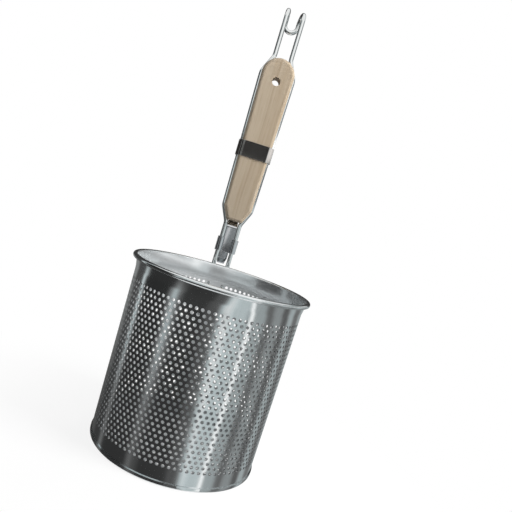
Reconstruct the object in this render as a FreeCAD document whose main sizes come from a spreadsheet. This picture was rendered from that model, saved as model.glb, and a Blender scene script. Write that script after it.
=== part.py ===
import FreeCAD, Part
import math
import os

import Sketcher

# Perforated strainer basket with a wood-grip handle, in millimetres.
# Origin: centre of the resting plane. +Z runs up the basket's axis, and the handle stands at +Y.
# The real sheet has about 3,000 round holes of 2.7 mm at a pitch of 4.6 mm. Here the same staggered
# pattern is a coarser one of six-sided holes, with about the same open share of the sheet.

SIZES = [
    # basket wall
    ("wall_radius", 70.0, "outside of the perforated wall"),
    ("sheet", 0.8, "thickness of the wall's sheet"),
    ("basket_height", 153.0, "top of the rim bead"),
    ("flare_height", 9.0, "height of the flared stretch under the bead"),
    ("flare", 1.6, "how far the wall leans out over that stretch"),
    ("bead_radius", 1.9, "outside of the rolled rim bead"),
    ("bead_turn", 285.0, "how far round the rim is rolled, in degrees"),
    # perforation of the wall
    ("plain_top", 19.0, "plain sheet between the top of the bead and the first row"),
    ("plain_bottom", 15.3, "plain sheet between the resting plane and the last row"),
    ("holes_round", 34, "holes in one full row"),
    ("hole_width", 7.0, "across the flats of a wall hole"),
    ("seam_gap", 12.0, "plain strip along the butt weld"),
    # bottom disc
    ("disc_sheet", 0.8, "thickness of the bottom disc"),
    ("lip_height", 3.2, "height of the disc's folded edge"),
    ("lip_bend", 1.2, "outside radius of the fold"),
    ("disc_hole_width", 8.4, "across the flats of a disc hole"),
    ("disc_pitch", 15.0, "spacing of the disc's holes"),
    ("disc_margin", 10.0, "plain ring between the wall and the disc's holes"),
    # handle wire
    ("wire_radius", 2.0, "half of the wire's thickness"),
    ("rod_gap", 6.8, "from the middle plane to a rod's centre line, below the grip"),
    ("weld_length", 38.0, "straight stretch of a rod on the wall"),
    ("step_height", 10.0, "height of the step out over the bead"),
    ("bead_run", 9.0, "straight rod beside the bead, under its top"),
    ("rod_bend", 10.0, "bend radius of the rods"),
    ("hook_rise", 45.9, "from the top of the grip to the top of the hanging hook"),
    ("hook_depth", 15.0, "from the rods to the hook's tail"),
    ("hook_drop", 18.8, "from the hook's top to the bottom of its tail"),
    ("tail_gap", 6.0, "from the middle plane to the tail's centre line"),
    ("hook_gap", 7.7, "from the middle plane to a rod at the hook"),
    # wooden grip
    ("grip_rise", 43.1, "from the top of the bead to the lower end of the grip"),
    ("grip_length", 151.5, "height of the grip"),
    ("grip_low_width", 26.6, "width between the groove bottoms' lines, at the lower shoulder"),
    ("grip_high_width", 30.2, "the same at the upper shoulder"),
    ("grip_end_width", 14.4, "width of the flat lower end"),
    ("grip_taper", 12.5, "height of the tapered lower end"),
    ("grip_arch", 16.5, "height of the round top"),
    ("grip_thickness", 14.0, "front to back"),
    ("grip_edge", 3.0, "radius of the rounded long edges"),
    ("hang_hole", 7.6, "diameter of the hanging hole"),
    ("hang_drop", 21.0, "from the top of the grip to the hole's centre"),
    # band
    ("band_rise", 59.6, "from the lower end of the grip to the band"),
    ("band_height", 14.3, "width of the strap"),
    ("band_sheet", 0.7, "thickness of the strap"),
    # pot hook
    ("strip", 1.2, "thickness of the pot hook's strip"),
    ("plate_rise", 12.9, "from the top of the bead to the lower edge of the plate"),
    ("wing_height", 13.3, "height of the curls round the rods"),
    ("curl_opening", 70.0, "open angle of a curl, in degrees"),
    ("roll_radius", 6.4, "middle line of the roll over the top, which bears on the grip"),
    ("tongue_rise", 6.0, "from the top of the bead to where the tongue starts to flare"),
    ("tip_drop", 6.0, "height of the flared tip"),
    ("tip_out", 3.5, "how far the tip leans out"),
    ("tip_width", 6.4, "width of the tip's end"),
    # fits
    ("fit", 0.06, "clearance of pieces that bear on each other"),
]

# Measures that follow from the sizes: what seats on or lines up with something else.
FITS = [
    ("bead_centre", "wall_radius - sheet + flare + bead_radius", "radius of the bead's middle circle"),
    ("rod_seat", "sqrt((wall_radius + wire_radius + fit)^2 - rod_gap^2)", "rods on the wall"),
    ("rod_plane", "sqrt((bead_centre + bead_radius + wire_radius + fit)^2 - rod_gap^2)", "rods beside the bead"),
    ("step_top", "basket_height - bead_run", "where the rods are clear of the wall"),
    ("grip_bottom", "basket_height + grip_rise", "height of the grip's lower end"),
    ("grip_top", "grip_bottom + grip_length", "height of the grip's top"),
    ("hook_top", "grip_top + hook_rise", "height of the hanging hook's top"),
    ("band_bottom", "grip_bottom + band_rise", "height of the band's lower edge"),
    ("plate_bottom", "basket_height + plate_rise", "height of the pot hook's plate"),
    ("tongue_bottom", "basket_height + tongue_rise", "height where the tongue starts to flare"),
    ("low_shoulder", "grip_bottom + grip_taper", "height of the grip's lower shoulder"),
    ("high_shoulder", "grip_top - grip_arch", "height of the grip's upper shoulder"),
    ("groove", "wire_radius + fit", "radius of the grooves and curls round a rod"),
    ("strip_width", "2 * (rod_gap - groove)", "clear width between the rods"),
    ("roll_centre", "grip_bottom - fit - roll_radius - strip / 2", "height of the roll's middle"),
    ("tongue_plane", "2 * roll_radius", "middle line of the tongue, behind the rods' plane"),
    ("first_row", "plain_bottom", "height of the lowest row of holes"),
    ("last_row", "basket_height - plain_top", "height of the highest row of holes"),
]

doc = FreeCAD.newDocument("strainer_basket")
sheet = doc.addObject("Spreadsheet::Sheet", "sizes")


def fill_sheet():
    """Write the driving sizes, then the measures that follow from them."""
    for row, (name, value, note) in enumerate(SIZES, start=1):
        sheet.set(f"A{row}", name)
        sheet.set(f"B{row}", str(value))
        sheet.setAlias(f"B{row}", name)
        sheet.set(f"C{row}", note)
    doc.recompute()
    for row, (name, formula, note) in enumerate(FITS, start=len(SIZES) + 1):
        sheet.set(f"A{row}", name)
        sheet.set(f"B{row}", "=" + formula)
        sheet.setAlias(f"B{row}", name)
        sheet.set(f"C{row}", note)
        doc.recompute()


def size(name):
    """The present value of a size or a fit."""
    return float(sheet.get(name))


def bind(feature, prop, formula):
    """Tie a property to the sheet; @ stands for the sheet's name."""
    feature.setExpression(prop, formula.replace("@", "sizes."))


def plane(body, role):
    """One of a body's own origin planes."""
    return next(item for item in body.Origin.OriginFeatures if item.Role == role)


def new_sketch(body, name, role, offset=None):
    """A sketch on an origin plane of its body, moved along the plane's normal if wanted."""
    sketch = body.newObject("Sketcher::SketchObject", name)
    sketch.AttachmentSupport = [(plane(body, role), "")]
    sketch.MapMode = "FlatFace"
    if offset:
        bind(sketch, "AttachmentOffset.Base.z", offset)
    return sketch


def vector(x, y):
    return FreeCAD.Vector(x, y, 0)


def polar(centre, radius, degrees):
    """A point on a circle in a sketch."""
    angle = math.radians(degrees)
    return vector(centre[0] + radius * math.cos(angle), centre[1] + radius * math.sin(angle))


def arc(centre, radius, start, end):
    """An arc that runs counter-clockwise between two angles in degrees."""
    circle = Part.Circle(vector(*centre), FreeCAD.Vector(0, 0, 1), radius)
    return Part.ArcOfCircle(circle, math.radians(start), math.radians(end))


def close_loop(sketch, pieces):
    """Add curves that follow each other, and tie each end to the next start.

    A piece is (curve, flipped): a flipped arc is walked from its end to its start.
    """
    ids = [sketch.addGeometry(curve, False) for curve, _ in pieces]
    for k, (_, flipped) in enumerate(pieces):
        following = (k + 1) % len(pieces)
        leave = 1 if flipped else 2
        enter = 2 if pieces[following][1] else 1
        sketch.addConstraint(Sketcher.Constraint("Coincident", ids[k], leave, ids[following], enter))
    return ids


def rule(sketch, kind, *items):
    """Add one constraint and return its number."""
    return sketch.addConstraint(Sketcher.Constraint(kind, *items))


def dimension(sketch, formula, kind, *items):
    """Add a dimension at its drawn value and tie it to the sheet."""
    if kind in ("Radius", "Diameter"):
        drawn = sketch.Geometry[items[0]].Radius * (2 if kind == "Diameter" else 1)
    else:
        span = sketch.getPoint(items[2], items[3]) - sketch.getPoint(items[0], items[1])
        drawn = span.x if kind == "DistanceX" else span.y
    number = rule(sketch, kind, *items, drawn)
    bind(sketch, f"Constraints[{number}]", formula)


def revolve(body, sketch, name):
    """Turn a body's sketch once round the upright axis."""
    turned = body.newObject("PartDesign::Revolution", name)
    turned.Profile = sketch
    turned.ReferenceAxis = (sketch, ["V_Axis"])
    turned.Angle = 360.0
    return turned


def feature(name, shape):
    """A plain feature for a shape made with Part's own functions."""
    item = doc.addObject("Part::Feature", name)
    item.Shape = shape
    return item


def cut(name, base, tool):
    """A boolean difference that stays in the document."""
    item = doc.addObject("Part::Cut", name)
    item.Base = base
    item.Tool = tool
    return item


# Basket wall

def rolled_wall():
    """The wall's section, from its foot to the end of the rolled rim, turned once round the axis."""
    body = doc.addObject("PartDesign::Body", "rolled_wall")
    sketch = new_sketch(body, "wall_section", "XZ_Plane")
    outer, thin = size("wall_radius"), size("sheet")
    inner = outer - thin
    foot = size("disc_sheet") + size("fit")
    roll = size("bead_radius")
    centre = (size("bead_centre"), size("basket_height") - roll)
    bend_height = centre[1] - size("flare_height")
    # the flared line touches the bead's outer circle: lean of the line from its two ends
    run, rise = centre[0] - inner, centre[1] - bend_height
    reach = math.hypot(run, rise)
    lean = math.degrees(math.atan2(run, rise) - math.asin(roll / reach))
    touch = 180.0 - lean
    stop = touch - size("bead_turn")
    out_touch, in_touch = polar(centre, roll, touch), polar(centre, roll - thin, touch)
    out_stop, in_stop = polar(centre, roll, stop), polar(centre, roll - thin, stop)
    # the outer corner of the bend lies on the line that halves it
    corner_drop = thin * math.tan(math.radians(lean / 2))
    low_in, low_out = vector(inner, bend_height), vector(outer, bend_height - corner_drop)
    ids = close_loop(sketch, [
        (Part.LineSegment(vector(inner, foot), low_in), False),
        (Part.LineSegment(low_in, out_touch), False),
        (arc(centre, roll, stop, touch), True),
        (Part.LineSegment(out_stop, in_stop), False),
        (arc(centre, roll - thin, stop, touch), False),
        (Part.LineSegment(in_touch, low_out), False),
        (Part.LineSegment(low_out, vector(outer, foot)), False),
        (Part.LineSegment(vector(outer, foot), vector(inner, foot)), False),
    ])
    rule(sketch, "Vertical", ids[0])
    rule(sketch, "Vertical", ids[6])
    rule(sketch, "Horizontal", ids[7])
    rule(sketch, "Coincident", ids[2], 3, ids[4], 3)
    dimension(sketch, "@wall_radius", "DistanceX", -1, 1, ids[6], 2)
    dimension(sketch, "@wall_radius - @sheet", "DistanceX", -1, 1, ids[0], 1)
    dimension(sketch, "@disc_sheet + @fit", "DistanceY", -1, 1, ids[0], 1)
    dimension(sketch, "@bead_centre", "DistanceX", -1, 1, ids[2], 3)
    dimension(sketch, "@basket_height - @bead_radius", "DistanceY", -1, 1, ids[2], 3)
    dimension(sketch, "@bead_radius", "Radius", ids[2])
    dimension(sketch, "@bead_radius - @sheet", "Radius", ids[4])
    revolve(body, sketch, "wall_turned")
    return body


def six_sided_punch(width, length):
    """A six-sided bar along X, with a corner at its top, centred on the origin."""
    corner = width / math.sqrt(3)
    points = [FreeCAD.Vector(-length / 2, corner * math.sin(math.radians(60 * k)),
                             corner * math.cos(math.radians(60 * k))) for k in range(7)]
    return Part.Face(Part.makePolygon(points)).extrude(FreeCAD.Vector(length, 0, 0))


def wall_rows():
    """How many rows of holes the plain margins leave room for, and their spacing.

    The pitch round the wall sets the spacing of a 60 degree pattern, and whole rows take it up.
    """
    pitch = 2 * math.pi * size("wall_radius") / size("holes_round")
    height = size("last_row") - size("first_row")
    steps = max(1, round(height / (pitch * math.sqrt(3) / 2)))
    return steps + 1, height / steps


def wall_punches():
    """Every punch of the wall's pattern, left out along the weld at the back."""
    round_count = int(size("holes_round"))
    rows, spacing = wall_rows()
    step = 360.0 / round_count
    half_seam = math.degrees(size("seam_gap") / 2 / size("wall_radius"))
    half_hole = math.degrees(size("hole_width") / math.sqrt(3) / size("wall_radius"))
    punch = six_sided_punch(size("hole_width"), 6 * size("sheet"))
    punches = []
    for row in range(rows):
        for k in range(round_count):
            # counted from the weld, so that the strip beside it is even
            turn = (k + 0.5 * (row % 2)) * step
            from_weld = min(turn, 360.0 - turn)
            if from_weld < half_seam + half_hole:
                continue
            item = punch.copy()
            item.translate(FreeCAD.Vector(size("wall_radius"), 0, size("first_row") + row * spacing))
            item.rotate(FreeCAD.Vector(), FreeCAD.Vector(0, 0, 1), 90.0 + turn)
            punches.append(item)
    return feature("wall_punches", Part.makeCompound(punches))


# Bottom disc

def folded_disc():
    """The disc's section with its edge folded up round the wall."""
    body = doc.addObject("PartDesign::Body", "folded_disc")
    sketch = new_sketch(body, "disc_section", "XZ_Plane")
    thin, bend = size("disc_sheet"), size("lip_bend")
    inside = size("wall_radius") + size("fit")
    outside = inside + thin
    top = size("lip_height")
    centre = (outside - bend, bend)
    ids = close_loop(sketch, [
        (Part.LineSegment(vector(0, 0), vector(centre[0], 0)), False),
        (arc(centre, bend, -90, 0), False),
        (Part.LineSegment(vector(outside, bend), vector(outside, top)), False),
        (Part.LineSegment(vector(outside, top), vector(inside, top)), False),
        (Part.LineSegment(vector(inside, top), vector(inside, thin)), False),
        (Part.LineSegment(vector(inside, thin), vector(0, thin)), False),
        (Part.LineSegment(vector(0, thin), vector(0, 0)), False),
    ])
    for k in (0, 3, 5):
        rule(sketch, "Horizontal", ids[k])
    for k in (2, 4, 6):
        rule(sketch, "Vertical", ids[k])
    rule(sketch, "Coincident", ids[0], 1, -1, 1)
    rule(sketch, "Vertical", ids[1], 3, ids[1], 1)
    rule(sketch, "Horizontal", ids[1], 3, ids[1], 2)
    dimension(sketch, "@lip_bend", "Radius", ids[1])
    dimension(sketch, "@wall_radius + @fit + @disc_sheet", "DistanceX", -1, 1, ids[2], 1)
    dimension(sketch, "@lip_height", "DistanceY", -1, 1, ids[2], 2)
    dimension(sketch, "@wall_radius + @fit", "DistanceX", -1, 1, ids[3], 2)
    dimension(sketch, "@disc_sheet", "DistanceY", -1, 1, ids[4], 2)
    revolve(body, sketch, "disc_turned")
    return body


def disc_punches():
    """A round field of holes, staggered as on the wall, with its centre between two of them."""
    pitch, corner = size("disc_pitch"), size("disc_hole_width") / math.sqrt(3)
    field = size("wall_radius") - size("disc_margin") - corner
    punch = six_sided_punch(size("disc_hole_width"), 6 * size("disc_sheet"))
    punch.rotate(FreeCAD.Vector(), FreeCAD.Vector(0, 1, 0), 90)
    punches = []
    reach = math.ceil(field / pitch) + 1
    for row in range(-reach, reach + 1):
        for column in range(-reach, reach):
            across = (column + (0 if row % 2 else 0.5)) * pitch
            up = row * pitch * math.sqrt(3) / 2
            if math.hypot(across, up) > field:
                continue
            item = punch.copy()
            item.translate(FreeCAD.Vector(across, up, 0))
            punches.append(item)
    return feature("disc_punches", Part.makeCompound(punches))


# Handle wire

def rounded_path(points, radii):
    """A wire of straight runs joined by tangent arcs; the arcs' radii belong to the inner points."""
    edges, start = [], points[0]
    for k in range(1, len(points) - 1):
        before = (points[k - 1] - points[k]).normalize()
        after = (points[k + 1] - points[k]).normalize()
        half = before.getAngle(after) / 2
        trim = radii[k - 1] / math.tan(half)
        first, last = points[k] + before * trim, points[k] + after * trim
        middle = points[k] + (before + after).normalize() * (radii[k - 1] / math.sin(half) - radii[k - 1])
        edges.append(Part.LineSegment(start, first).toShape())
        edges.append(Part.Arc(first, middle, last).toShape())
        start = last
    edges.append(Part.LineSegment(start, points[-1]).toShape())
    return Part.Wire(edges)


def hook_bend(side, rod_plane):
    """Half a turn over the top, from a rod to its leg of the tail."""
    radius = size("hook_depth") / 2
    height = size("hook_top") - size("wire_radius") - radius
    front = FreeCAD.Vector(side * size("hook_gap"), rod_plane, height)
    back = FreeCAD.Vector(side * size("tail_gap"), rod_plane + 2 * radius, height)
    crown = (front + back) / 2 + FreeCAD.Vector(0, 0, radius)
    return front, crown, back


def rod_points(side, rod_plane, front):
    """The corners of one rod, from its end on the wall up to the hook."""
    low, high = size("grip_low_width") / 2, size("grip_high_width") / 2
    seat, step_top = size("rod_seat"), size("step_top")
    step_bottom = step_top - size("step_height")
    end = step_bottom - size("weld_length")
    gap = size("rod_gap")
    # the rods follow the grip's taper, its straight sides and the shoulders of its arch
    taper_start = size("grip_bottom") - size("wire_radius")
    arch_end = size("grip_top") + size("wire_radius") / 2
    corners = [(gap, seat, end), (gap, seat, step_bottom), (gap, rod_plane, step_top),
               (gap, rod_plane, taper_start), (low, rod_plane, size("low_shoulder")),
               (high, rod_plane, size("high_shoulder") + size("wire_radius")),
               (size("hook_gap"), rod_plane, arch_end)]
    return [FreeCAD.Vector(side * x, y, z) for x, y, z in corners] + [front]


def handle_path():
    """The wire's middle line: up one rod, over, round the tail's U and down the other rod."""
    rod_plane, bend = size("rod_plane"), size("rod_bend")
    tail_radius = size("tail_gap")
    tail_height = size("hook_top") - size("hook_drop") + tail_radius + size("wire_radius")
    halves = {}
    for side in (-1, 1):
        front, crown, back = hook_bend(side, rod_plane)
        rod = rounded_path(rod_points(side, rod_plane, front), [bend] * 6)
        leg_end = FreeCAD.Vector(back.x, back.y, tail_height)
        halves[side] = (rod.Edges, Part.Arc(front, crown, back).toShape(),
                        Part.LineSegment(back, leg_end).toShape(), leg_end)
    left, right = halves[-1], halves[1]
    bottom = FreeCAD.Vector(0, left[3].y, tail_height - tail_radius)
    tail = Part.Arc(left[3], bottom, right[3]).toShape()
    edges = [*left[0], left[1], left[2], tail, right[2], right[1], *right[0]]
    return Part.Wire(Part.__sortEdges__(edges))


def sweep_along(path, radius):
    """A round bar along a path."""
    start = path.OrderedVertexes[0].Point
    along = path.OrderedEdges[0].tangentAt(path.OrderedEdges[0].FirstParameter)
    section = Part.Wire(Part.Circle(start, along, radius).toShape())
    return path.makePipeShell([section], True, False)


# Wooden grip

def grip_block():
    """The grip's outline with a tapered foot and a round top, its long edges rounded, and its hole."""
    body = doc.addObject("PartDesign::Body", "grip_block")
    sketch = new_sketch(body, "grip_outline", "XZ_Plane")
    low, high, foot = size("grip_low_width") / 2, size("grip_high_width") / 2, size("grip_end_width") / 2
    bottom, top = size("grip_bottom"), size("grip_top")
    shoulder, arch = size("low_shoulder"), size("high_shoulder")
    ids = close_loop(sketch, [
        (Part.LineSegment(vector(-foot, bottom), vector(foot, bottom)), False),
        (Part.LineSegment(vector(foot, bottom), vector(low, shoulder)), False),
        (Part.LineSegment(vector(low, shoulder), vector(high, arch)), False),
        (grip_arch(high, arch, top), False),
        (Part.LineSegment(vector(-high, arch), vector(-low, shoulder)), False),
        (Part.LineSegment(vector(-low, shoulder), vector(-foot, bottom)), False),
    ])
    rule(sketch, "Horizontal", ids[0])
    dimension(sketch, "@grip_end_width", "DistanceX", ids[0], 1, ids[0], 2)
    dimension(sketch, "@grip_low_width / 2", "DistanceX", -1, 1, ids[1], 2)
    dimension(sketch, "@grip_low_width / 2", "DistanceX", ids[4], 2, -1, 1)
    dimension(sketch, "@grip_high_width / 2", "DistanceX", -1, 1, ids[2], 2)
    dimension(sketch, "@grip_high_width / 2", "DistanceX", ids[4], 1, -1, 1)
    dimension(sketch, "@grip_bottom", "DistanceY", -1, 1, ids[0], 1)
    pad = body.newObject("PartDesign::Pad", "grip_pad")
    pad.Profile = sketch
    pad.Midplane = True
    bind(pad, "Length", "@grip_thickness")
    doc.recompute()
    rounding = body.newObject("PartDesign::Fillet", "grip_rounding")
    rounding.Base = (pad, flat_outline_edges(pad.Shape, size("grip_thickness") / 2))
    bind(rounding, "Radius", "@grip_edge")
    hole_sketch = new_sketch(body, "hang_hole_circle", "XZ_Plane")
    centre = vector(0, top - size("hang_drop"))
    circle = hole_sketch.addGeometry(Part.Circle(centre, FreeCAD.Vector(0, 0, 1), size("hang_hole") / 2), False)
    dimension(hole_sketch, "@hang_hole", "Diameter", circle)
    dimension(hole_sketch, "@grip_top - @hang_drop", "DistanceY", -1, 1, circle, 3)
    rule(hole_sketch, "PointOnObject", circle, 3, -2)
    pocket = body.newObject("PartDesign::Pocket", "hang_hole_cut")
    pocket.Profile = hole_sketch
    pocket.Midplane = True
    bind(pocket, "Length", "2 * @grip_thickness")
    bind(body, "Placement.Base.y", "@rod_plane")
    return body


def grip_arch(half_width, shoulder, top):
    """The round top: one arc through both shoulders and the crown."""
    rise = top - shoulder
    radius = (half_width ** 2 + rise ** 2) / (2 * rise)
    centre = (0, top - radius)
    start = math.degrees(math.atan2(shoulder - centre[1], half_width))
    return arc(centre, radius, start, 180.0 - start)


def flat_outline_edges(shape, half_thickness):
    """Names of the edges that bound the front and back faces."""
    names = []
    for number, edge in enumerate(shape.Edges, start=1):
        if all(abs(abs(vertex.Point.y) - half_thickness) < 1e-6 for vertex in edge.Vertexes):
            names.append(f"Edge{number}")
    return names


# Band

def width_at(height):
    """Half of the grip's width at a height between its shoulders."""
    low, high = size("grip_low_width") / 2, size("grip_high_width") / 2
    share = (height - size("low_shoulder")) / (size("high_shoulder") - size("low_shoulder"))
    return low + (high - low) * share


def band_section(grow, rod):
    """The strap's line: flats on the grip's faces, and an even way round its edges and the rods."""
    edge, rod_round = size("grip_edge") + grow, size("wire_radius") + grow
    corner = (rod - size("grip_edge"), size("grip_thickness") / 2 - size("grip_edge"))
    # a straight stretch touches both the grip's rounded edge and the rod
    apart = math.hypot(rod - corner[0], corner[1])
    aim = math.degrees(math.atan2(-corner[1], rod - corner[0]) + math.acos((edge - rod_round) / apart))
    (x, y), leave, touch = corner, polar(corner, edge, aim), polar((rod, 0), rod_round, aim)
    face = y + edge
    return [
        (Part.LineSegment(vector(x, face), vector(-x, face)), False),
        (arc((-x, y), edge, 90, 180 - aim), False),
        (Part.LineSegment(vector(-leave.x, leave.y), vector(-touch.x, touch.y)), False),
        (arc((-rod, 0), rod_round, 180 - aim, 180 + aim), False),
        (Part.LineSegment(vector(-touch.x, -touch.y), vector(-leave.x, -leave.y)), False),
        (arc((-x, -y), edge, 180 + aim, 270), False),
        (Part.LineSegment(vector(-x, -face), vector(x, -face)), False),
        (arc((x, -y), edge, -90, -aim), False),
        (Part.LineSegment(vector(leave.x, -leave.y), vector(touch.x, -touch.y)), False),
        (arc((rod, 0), rod_round, -aim, aim), False),
        (Part.LineSegment(touch, leave), False),
        (arc((x, y), edge, aim, 90), False),
    ]


def strap():
    """The band: a closed strap section, padded to its width."""
    body = doc.addObject("PartDesign::Body", "grip_band")
    sketch = new_sketch(body, "band_outline", "XY_Plane", "@band_bottom")
    rod = width_at(size("band_bottom") + size("band_height"))
    for grow in (size("fit") + size("band_sheet"), size("fit")):
        close_loop(sketch, band_section(grow, rod))
    pad = body.newObject("PartDesign::Pad", "band_pad")
    pad.Profile = sketch
    bind(pad, "Length", "@band_height")
    bind(body, "Placement.Base.y", "@rod_plane")
    return body


# Pot hook

def hook_side():
    """The strip's side view: plate, roll over the top, tongue and flared tip, as one closed line."""
    half = size("strip") / 2
    roll, centre_z = size("roll_radius"), size("roll_centre")
    back = size("tongue_plane")
    low, knee = size("plate_bottom"), size("tongue_bottom")
    lean = math.atan2(size("tip_out"), size("tip_drop"))
    shift = half * math.tan(lean / 2)
    across, along = half * math.cos(lean), half * math.sin(lean)
    tip = (back + size("tip_out"), knee - size("tip_drop"))
    centre = (roll, centre_z)
    return [
        (Part.LineSegment(vector(-half, low), vector(-half, centre_z)), False),
        (arc(centre, roll + half, 0, 180), True),
        (Part.LineSegment(vector(back + half, centre_z), vector(back + half, knee + shift)), False),
        (Part.LineSegment(vector(back + half, knee + shift), vector(tip[0] + across, tip[1] + along)), False),
        (Part.LineSegment(vector(tip[0] + across, tip[1] + along), vector(tip[0] - across, tip[1] - along)), False),
        (Part.LineSegment(vector(tip[0] - across, tip[1] - along), vector(back - half, knee - shift)), False),
        (Part.LineSegment(vector(back - half, knee - shift), vector(back - half, centre_z)), False),
        (arc(centre, roll - half, 0, 180), False),
        (Part.LineSegment(vector(half, centre_z), vector(half, low)), False),
        (Part.LineSegment(vector(half, low), vector(-half, low)), False),
    ]


def curl_section(side):
    """A curl round one rod, open at the back, joined to the plate's edge."""
    inner = size("groove")
    outer = inner + size("strip")
    centre = (side * size("rod_gap"), 0)
    half_open = size("curl_opening") / 2
    start, stop = 90.0 + half_open, 450.0 - half_open
    return [
        (arc(centre, outer, start, stop), False),
        (Part.LineSegment(polar(centre, outer, stop), polar(centre, inner, stop)), False),
        (arc(centre, inner, start, stop), True),
        (Part.LineSegment(polar(centre, inner, start), polar(centre, outer, start)), False),
    ]


def folded_hook():
    """The pot hook: the strip, its curls round the rods and its narrowed tip."""
    body = doc.addObject("PartDesign::Body", "pot_hook")
    side_view = new_sketch(body, "strip_side", "YZ_Plane")
    close_loop(side_view, hook_side())
    strip = body.newObject("PartDesign::Pad", "strip_pad")
    strip.Profile = side_view
    strip.Midplane = True
    bind(strip, "Length", "@strip_width")
    for side, name in ((-1, "left"), (1, "right")):
        section = new_sketch(body, f"{name}_curl_section", "XY_Plane", "@plate_bottom")
        close_loop(section, curl_section(side))
        curl = body.newObject("PartDesign::Pad", f"{name}_curl")
        curl.Profile = section
        bind(curl, "Length", "@wing_height")
    front_view = new_sketch(body, "tip_shape", "XZ_Plane")
    half, narrow = size("strip_width") / 2, size("tip_width") / 2
    knee, low = size("tongue_bottom"), size("tongue_bottom") - size("tip_drop") - size("strip")
    for side in (-1, 1):
        points = [vector(side * half, knee), vector(side * narrow, low), vector(side * 2 * half, low),
                  vector(side * 2 * half, knee)]
        sides = [(Part.LineSegment(points[k], points[(k + 1) % 4]), False) for k in range(4)]
        close_loop(front_view, sides)
    trim = body.newObject("PartDesign::Pocket", "tip_trim")
    trim.Profile = front_view
    trim.Midplane = True
    bind(trim, "Length", "4 * (@tongue_plane + @tip_out + @strip)")
    bind(body, "Placement.Base.y", "@rod_plane")
    return body


def check_document():
    """Stop if any object failed, or a sub-part is empty or broken."""
    for item in doc.Objects:
        if "Invalid" in item.State or "Error" in item.State:
            raise RuntimeError(f"{item.Name} failed: {item.State}")
    for name, item in nodes.items():
        if item.Shape.isNull() or not item.Shape.isValid():
            raise RuntimeError(f"{name} has no sound shape")


fill_sheet()
path = handle_path()
nodes = {
    "basket_wall": cut("basket_wall", rolled_wall(), wall_punches()),
    "base_disc": cut("base_disc", folded_disc(), disc_punches()),
    "handle_wire": feature("handle_wire", sweep_along(path, size("wire_radius"))),
    "wood_grip": cut("wood_grip", grip_block(), feature("grip_grooves", sweep_along(path, size("groove")))),
    "grip_band": strap(),
    "pot_hook": folded_hook(),
}
doc.recompute()
check_document()
os.makedirs("parts", exist_ok=True)
for name, item in nodes.items():
    item.Label = name
    item.Shape.exportStep(f"parts/{name}.step")
    print(name, "solids", len(item.Shape.Solids), "volume", round(item.Shape.Volume, 1))
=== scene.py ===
# %% [markdown]
# Strainer basket with a wood-grip handle
#
# The object is a cylinder of perforated stainless sheet with a rolled rim, a perforated bottom, and an
# upright handle of bent wire with a wooden grip. The engineering model is loaded first as a fixed frame.
# Everything is then built in the same place, in metres, so no piece is ever fitted by eye.

# %% Load the frame
import math

import bmesh
import bpy
from mathutils import Matrix, Vector


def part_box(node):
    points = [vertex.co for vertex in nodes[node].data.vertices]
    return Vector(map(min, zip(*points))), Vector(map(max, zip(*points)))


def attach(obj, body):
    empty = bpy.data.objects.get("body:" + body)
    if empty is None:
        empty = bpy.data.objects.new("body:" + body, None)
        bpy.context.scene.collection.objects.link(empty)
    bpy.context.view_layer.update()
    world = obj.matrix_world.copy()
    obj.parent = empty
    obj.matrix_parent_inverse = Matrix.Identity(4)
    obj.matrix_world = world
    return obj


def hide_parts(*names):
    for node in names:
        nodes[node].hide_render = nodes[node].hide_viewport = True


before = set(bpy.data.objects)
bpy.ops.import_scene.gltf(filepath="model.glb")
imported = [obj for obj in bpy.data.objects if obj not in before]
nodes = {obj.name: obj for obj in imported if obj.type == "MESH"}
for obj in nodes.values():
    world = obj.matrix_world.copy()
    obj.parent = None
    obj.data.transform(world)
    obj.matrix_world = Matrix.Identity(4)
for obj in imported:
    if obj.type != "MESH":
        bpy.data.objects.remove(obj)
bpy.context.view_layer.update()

MM = 0.001
wall_low, wall_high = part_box("basket_wall")
disc_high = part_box("base_disc")[1]
wire_low, wire_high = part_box("handle_wire")
grip_low, grip_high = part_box("wood_grip")
print("basket", round(wall_high.z / MM, 1), "mm high, handle up to", round(wire_high.z / MM, 1), "mm")

# %% [markdown]
# The camera
#
# The photograph looks a little down on the rim from in front, and the basket leans to the right in it.
# The basket stands upright here, so the camera itself is rolled by the same angle. Its place comes from
# a fit to the rim, the foot and the rows of holes. The lens looks past the object's middle, which is
# what a small shift of the frame does.

# %% Camera
CAMERA_FAR = 430.9 * MM
CAMERA_HEIGHT = 205.4 * MM
CAMERA_ROUND = math.radians(4.01)
CAMERA_HEADING = math.radians(4.67)
CAMERA_DIP = math.radians(8.39)
CAMERA_ROLL = math.radians(16.96)
SENSOR_WIDTH = 36.0
LENS_LENGTH = 37.27
FRAME_SHIFT = (0.0605, 0.0664)
NEAREST_SEEN = 10 * MM

camera_data = bpy.data.cameras.new("camera")
camera_data.sensor_width = SENSOR_WIDTH
camera_data.lens = LENS_LENGTH
camera_data.shift_x, camera_data.shift_y = FRAME_SHIFT
camera_data.clip_start = NEAREST_SEEN
camera = bpy.data.objects.new("camera", camera_data)
bpy.context.scene.collection.objects.link(camera)
camera_place = Vector((-CAMERA_FAR * math.sin(CAMERA_ROUND), -CAMERA_FAR * math.cos(CAMERA_ROUND),
                       CAMERA_HEIGHT))
camera.matrix_world = (
    Matrix.Translation(camera_place)
    @ Matrix.Rotation(-CAMERA_HEADING, 4, "Z")
    @ Matrix.Rotation(math.pi / 2 - CAMERA_DIP, 4, "X")
    @ Matrix.Rotation(CAMERA_ROLL, 4, "Z"))
bpy.context.scene.camera = camera
bpy.context.scene.view_settings.view_transform = "Standard"
print("camera", round(camera_place.length / MM), "mm from the middle of the foot")

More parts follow.
